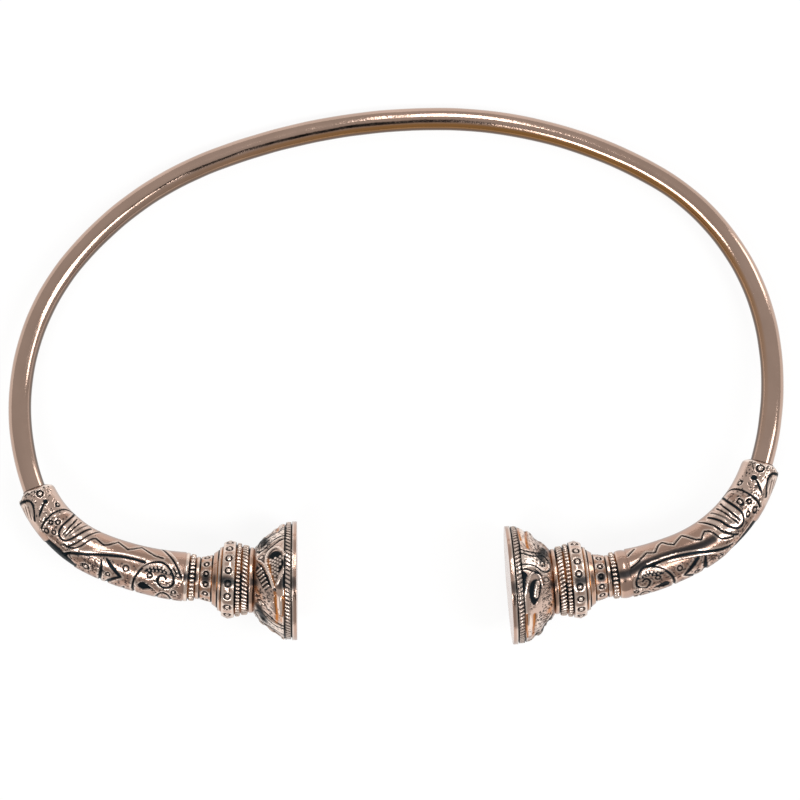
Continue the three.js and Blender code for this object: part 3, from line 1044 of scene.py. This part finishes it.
def rod_piece(points, warm_reflection, patina_and_painted_shade, shift):
    count, columns = points.shape[:2]
    ends = np.array([points[0].mean(0), points[-1].mean(0)])
    vertices = np.vstack([points.reshape(-1, 3), ends]) + shift
    faces = grid_faces(0, count, columns)
    faces += fan_faces(count * columns, 0, columns, True)
    faces += fan_faces(count * columns + 1, (count - 1) * columns, columns, False)
    attributes = {
        "warm_reflection": np.concatenate([warm_reflection.ravel(), np.zeros(2)]),
        "patina_and_painted_shade": np.concatenate([patina_and_painted_shade.ravel(), np.zeros(2)]),
    }
    return make_piece("neck_ring_bronze", vertices, faces, attributes)


# ---- materials ----

# Two shades of each metal, then its colour in a painted warm reflection, where it is worn and where a
# highlight is painted, and under patina and painted shade.
ROD_SHADES = (0.47, 0.33, 0.262), (0.54, 0.38, 0.305)
ROD_WARM_REFLECTION = (0.46, 0.22, 0.07)
ROD_PAINTED_SHADE = (0.10, 0.07, 0.055)
CAST_SHADES = (0.44, 0.28, 0.215), (0.56, 0.37, 0.29)
CAST_WARM_REFLECTION = (0.52, 0.18, 0.035)
CAST_WORN_AND_HIGHLIGHT = (0.93, 0.77, 0.67)
CAST_PATINA_AND_PAINTED_SHADE = (0.009, 0.014, 0.018)


def link(tree, source, target):
    tree.links.new(source, target)


def attribute_value(tree, name):
    node = tree.nodes.new("ShaderNodeAttribute")
    node.attribute_name = name
    return node.outputs["Fac"]


def noise(tree, scale, detail=3.0):
    coordinates = tree.nodes.new("ShaderNodeTexCoord")
    node = tree.nodes.new("ShaderNodeTexNoise")
    node.inputs["Scale"].default_value = scale
    node.inputs["Detail"].default_value = detail
    node.inputs["Roughness"].default_value = 0.55
    link(tree, coordinates.outputs["Object"], node.inputs["Vector"])
    return node.outputs["Fac"]


def scaled(tree, source, low, high, to_low, to_high):
    node = tree.nodes.new("ShaderNodeMapRange")
    node.inputs["From Min"].default_value = low
    node.inputs["From Max"].default_value = high
    node.inputs["To Min"].default_value = to_low
    node.inputs["To Max"].default_value = to_high
    link(tree, source, node.inputs["Value"])
    return node.outputs["Result"]


def blended(tree, share, first, second):
    """A mix of two colours, each a colour or a socket."""
    node = tree.nodes.new("ShaderNodeMix")
    node.data_type = "RGBA"
    link(tree, share, node.inputs["Factor"])
    for value, socket in ((first, node.inputs[6]), (second, node.inputs[7])):
        if isinstance(value, tuple):
            socket.default_value = (*value, 1.0)
        else:
            link(tree, value, socket)
    return node.outputs[2]


def attribute_blend(tree, name, first, second):
    return blended(tree, attribute_value(tree, name), first, second)


def new_metal(name):
    material = bpy.data.materials.new(name)
    material.use_nodes = True
    shader = material.node_tree.nodes["Principled BSDF"]
    shader.inputs["Metallic"].default_value = 1.0
    return material, material.node_tree, shader


def add_bump(tree, shader, scale, strength, distance):
    bump = tree.nodes.new("ShaderNodeBump")
    bump.inputs["Strength"].default_value = strength
    bump.inputs["Distance"].default_value = distance
    link(tree, noise(tree, scale, 4.0), bump.inputs["Height"])
    link(tree, bump.outputs["Normal"], shader.inputs["Normal"])


def polished_bronze():
    """The rod: bright and smooth, with a painted warm reflection and painted shade on its inner side."""
    material, tree, shader = new_metal("rod_finish")
    colour = blended(tree, scaled(tree, noise(tree, 90.0), 0.3, 0.7, 0.0, 1.0), *ROD_SHADES)
    # Painted warm reflection, then painted shade, on the inner side.
    colour = attribute_blend(tree, "warm_reflection", colour, ROD_WARM_REFLECTION)
    colour = attribute_blend(tree, "patina_and_painted_shade", colour, ROD_PAINTED_SHADE)
    link(tree, colour, shader.inputs["Base Color"])
    link(tree, scaled(tree, noise(tree, 260.0), 0.3, 0.7, 0.09, 0.15), shader.inputs["Roughness"])
    add_bump(tree, shader, 1500.0, 0.08, 0.0002)
    return material


def patinated_bronze():
    """The castings: a painted warm reflection in the grooves, bright on worn ridges and painted highlights,
    and dark and dull under patina and painted shade.
    """
    material, tree, shader = new_metal("terminal_finish")
    colour = blended(tree, scaled(tree, noise(tree, 120.0), 0.3, 0.7, 0.0, 1.0), *CAST_SHADES)
    colour = attribute_blend(tree, "warm_reflection", colour, CAST_WARM_REFLECTION)
    colour = attribute_blend(tree, "wear_and_highlight", colour, CAST_WORN_AND_HIGHLIGHT)
    colour = attribute_blend(tree, "patina_and_painted_shade", colour, CAST_PATINA_AND_PAINTED_SHADE)
    link(tree, colour, shader.inputs["Base Color"])
    rough = tree.nodes.new("ShaderNodeMix")
    rough.data_type = "FLOAT"
    link(tree, attribute_value(tree, "patina_and_painted_shade"), rough.inputs["Factor"])
    link(tree, scaled(tree, noise(tree, 300.0), 0.3, 0.7, 0.1, 0.2), rough.inputs[2])
    rough.inputs[3].default_value = 0.5
    link(tree, rough.outputs[0], shader.inputs["Roughness"])
    add_bump(tree, shader, 1300.0, 0.12, 0.0003)
    return material


def floor_material():
    material = bpy.data.materials.new("pale_floor")
    material.use_nodes = True
    shader = material.node_tree.nodes["Principled BSDF"]
    shader.inputs["Base Color"].default_value = (0.12, 0.12, 0.12, 1.0)
    shader.inputs["Roughness"].default_value = 0.9
    shader.inputs["Emission Color"].default_value = (1.0, 1.0, 1.0, 1.0)
    shader.inputs["Emission Strength"].default_value = 0.87
    return material


# ---- the stage, in metres ----

FLOOR_HALF = 1.5
LIGHT_DISTANCE = 1.1
# Name, direction from the torc, width and height, power in watts, and which way its top points.
SOFTBOXES = (
    ("right_box", (0.53, -0.2, 0.82), (0.66, 0.28), 4.4, (0.3, 1, 0)),
    ("left_box", (-0.33, -0.38, 0.87), (0.52, 0.3), 3.6, (0.45, 1, 0)),
    ("back_strip", (0.05, 0.64, 0.77), (0.11, 0.5), 1.4, (0, 1, 0)),
    ("side_box", (0.8, -0.05, 0.6), (0.3, 0.2), 1.0, (0, 1, 0)),
    ("right_window", (0.84, 0.5, 0.15), (0.4, 0.28), 1.1, (0, 1, 0)),
)
CAMERA_PLACE = (-0.010, -0.0051, 0.9)
CAMERA_TARGET = (0.0007, -0.0051, 0.007)
VIEW_WIDTH = 0.160
SENSOR_WIDTH = 36.0


def make_floor():
    corners = [(x * FLOOR_HALF, y * FLOOR_HALF, 0) for x, y in ((-1, -1), (1, -1), (1, 1), (-1, 1))]
    mesh = bpy.data.meshes.new("floor")
    mesh.from_pydata(corners, [], [(0, 1, 2, 3)])
    mesh.materials.append(floor_material())
    floor = bpy.data.objects.new("floor", mesh)
    bpy.context.scene.collection.objects.link(floor)
    return floor


def aimed(place, target, top=(0, 1, 0)):
    """Rotation that looks from a place to a target with the given direction at the top."""
    back = (Vector(place) - Vector(target)).normalized()
    right = Vector(top).cross(back).normalized()
    up = back.cross(right)
    return Matrix((right, up, back)).transposed().to_euler()


def area_light(name, direction, size, power, top):
    """A softbox that faces the torc from a direction."""
    data = bpy.data.lights.new(name, "AREA")
    data.shape = "RECTANGLE"
    data.size, data.size_y = size
    data.energy = power
    light = bpy.data.objects.new(name, data)
    light.location = Vector(direction).normalized() * LIGHT_DISTANCE
    light.rotation_euler = aimed(light.location, (0, 0, 0), top)
    bpy.context.scene.collection.objects.link(light)


def set_world(front, back, dark_share, dark_centre, dark_size, dark_turn):
    """A pale room, dimmer towards the front, with a dark patch overhead, in front of the torc."""
    world = bpy.data.worlds.new("studio")
    world.use_nodes = True
    tree = world.node_tree
    coordinates = tree.nodes.new("ShaderNodeTexCoord")
    mapping = tree.nodes.new("ShaderNodeMapping")
    mapping.vector_type = "TEXTURE"
    mapping.inputs["Location"].default_value = (*dark_centre, 0.0)
    mapping.inputs["Rotation"].default_value = (0.0, 0.0, math.radians(dark_turn))
    mapping.inputs["Scale"].default_value = (*dark_size, 1e6)
    link(tree, coordinates.outputs["Generated"], mapping.inputs["Vector"])
    length = tree.nodes.new("ShaderNodeVectorMath")
    length.operation = "LENGTH"
    link(tree, mapping.outputs["Vector"], length.inputs[0])
    patch = scaled(tree, length.outputs["Value"], 0.8, 1.2, dark_share, 1.0)
    axes = tree.nodes.new("ShaderNodeSeparateXYZ")
    link(tree, coordinates.outputs["Generated"], axes.inputs[0])
    depth = scaled(tree, axes.outputs["Y"], -0.7, 0.4, front, back)
    strength = tree.nodes.new("ShaderNodeMath")
    strength.operation = "MULTIPLY"
    link(tree, patch, strength.inputs[0])
    link(tree, depth, strength.inputs[1])
    background = tree.nodes["Background"]
    background.inputs["Color"].default_value = (1.0, 0.985, 0.97, 1.0)
    link(tree, strength.outputs[0], background.inputs["Strength"])
    bpy.context.scene.world = world


def add_camera():
    data = bpy.data.cameras.new("camera")
    data.sensor_width = SENSOR_WIDTH
    data.lens = SENSOR_WIDTH * (CAMERA_PLACE[2] - CAMERA_TARGET[2]) / VIEW_WIDTH
    camera = bpy.data.objects.new("camera", data)
    camera.location = CAMERA_PLACE
    camera.rotation_euler = aimed(CAMERA_PLACE, CAMERA_TARGET)
    bpy.context.scene.collection.objects.link(camera)
    bpy.context.scene.camera = camera


def add_studio():
    set_world(front=0.44, back=0.58, dark_share=0.0,
              dark_centre=(0.1, -0.33), dark_size=(0.13, 0.3), dark_turn=-12)
    for softbox in SOFTBOXES:
        area_light(*softbox)
    add_camera()
    bpy.context.scene.view_settings.view_transform = "Standard"


# ---- assembly ----


def ride_in_place(piece, node, material):
    piece.data.materials.append(material)
    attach(piece, "root")
    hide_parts(node)


def shift_onto_frame(points):
    """From the crown of the rod to the origin of the row, found from the CAD rod's box."""
    low, high = (np.array(corner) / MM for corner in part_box("neck_ring"))
    flat = points.reshape(-1, 3)
    middle = (flat[:, 0].min() + flat[:, 0].max()) / 2
    return np.array([(low[0] + high[0]) / 2 - middle, high[1] - flat[:, 1].max(), 0.0])


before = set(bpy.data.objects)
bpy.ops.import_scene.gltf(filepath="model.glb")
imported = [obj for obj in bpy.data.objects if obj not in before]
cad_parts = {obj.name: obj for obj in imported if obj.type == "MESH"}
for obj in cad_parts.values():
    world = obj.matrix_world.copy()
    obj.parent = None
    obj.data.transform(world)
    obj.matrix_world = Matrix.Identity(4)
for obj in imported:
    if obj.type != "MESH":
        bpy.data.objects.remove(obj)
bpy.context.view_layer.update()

rod_points, rod_warm_reflection, rod_painted_shade = rod_grid()
shift = shift_onto_frame(rod_points)
rod = rod_piece(rod_points, rod_warm_reflection, rod_painted_shade, shift)
ride_in_place(rod, "neck_ring", polished_bronze())
patinated = patinated_bronze()
for side in (LEFT, RIGHT):
    ride_in_place(terminal_piece(side, shift), side["node"], patinated)

make_floor()
add_studio()

bpy.context.view_layer.update()
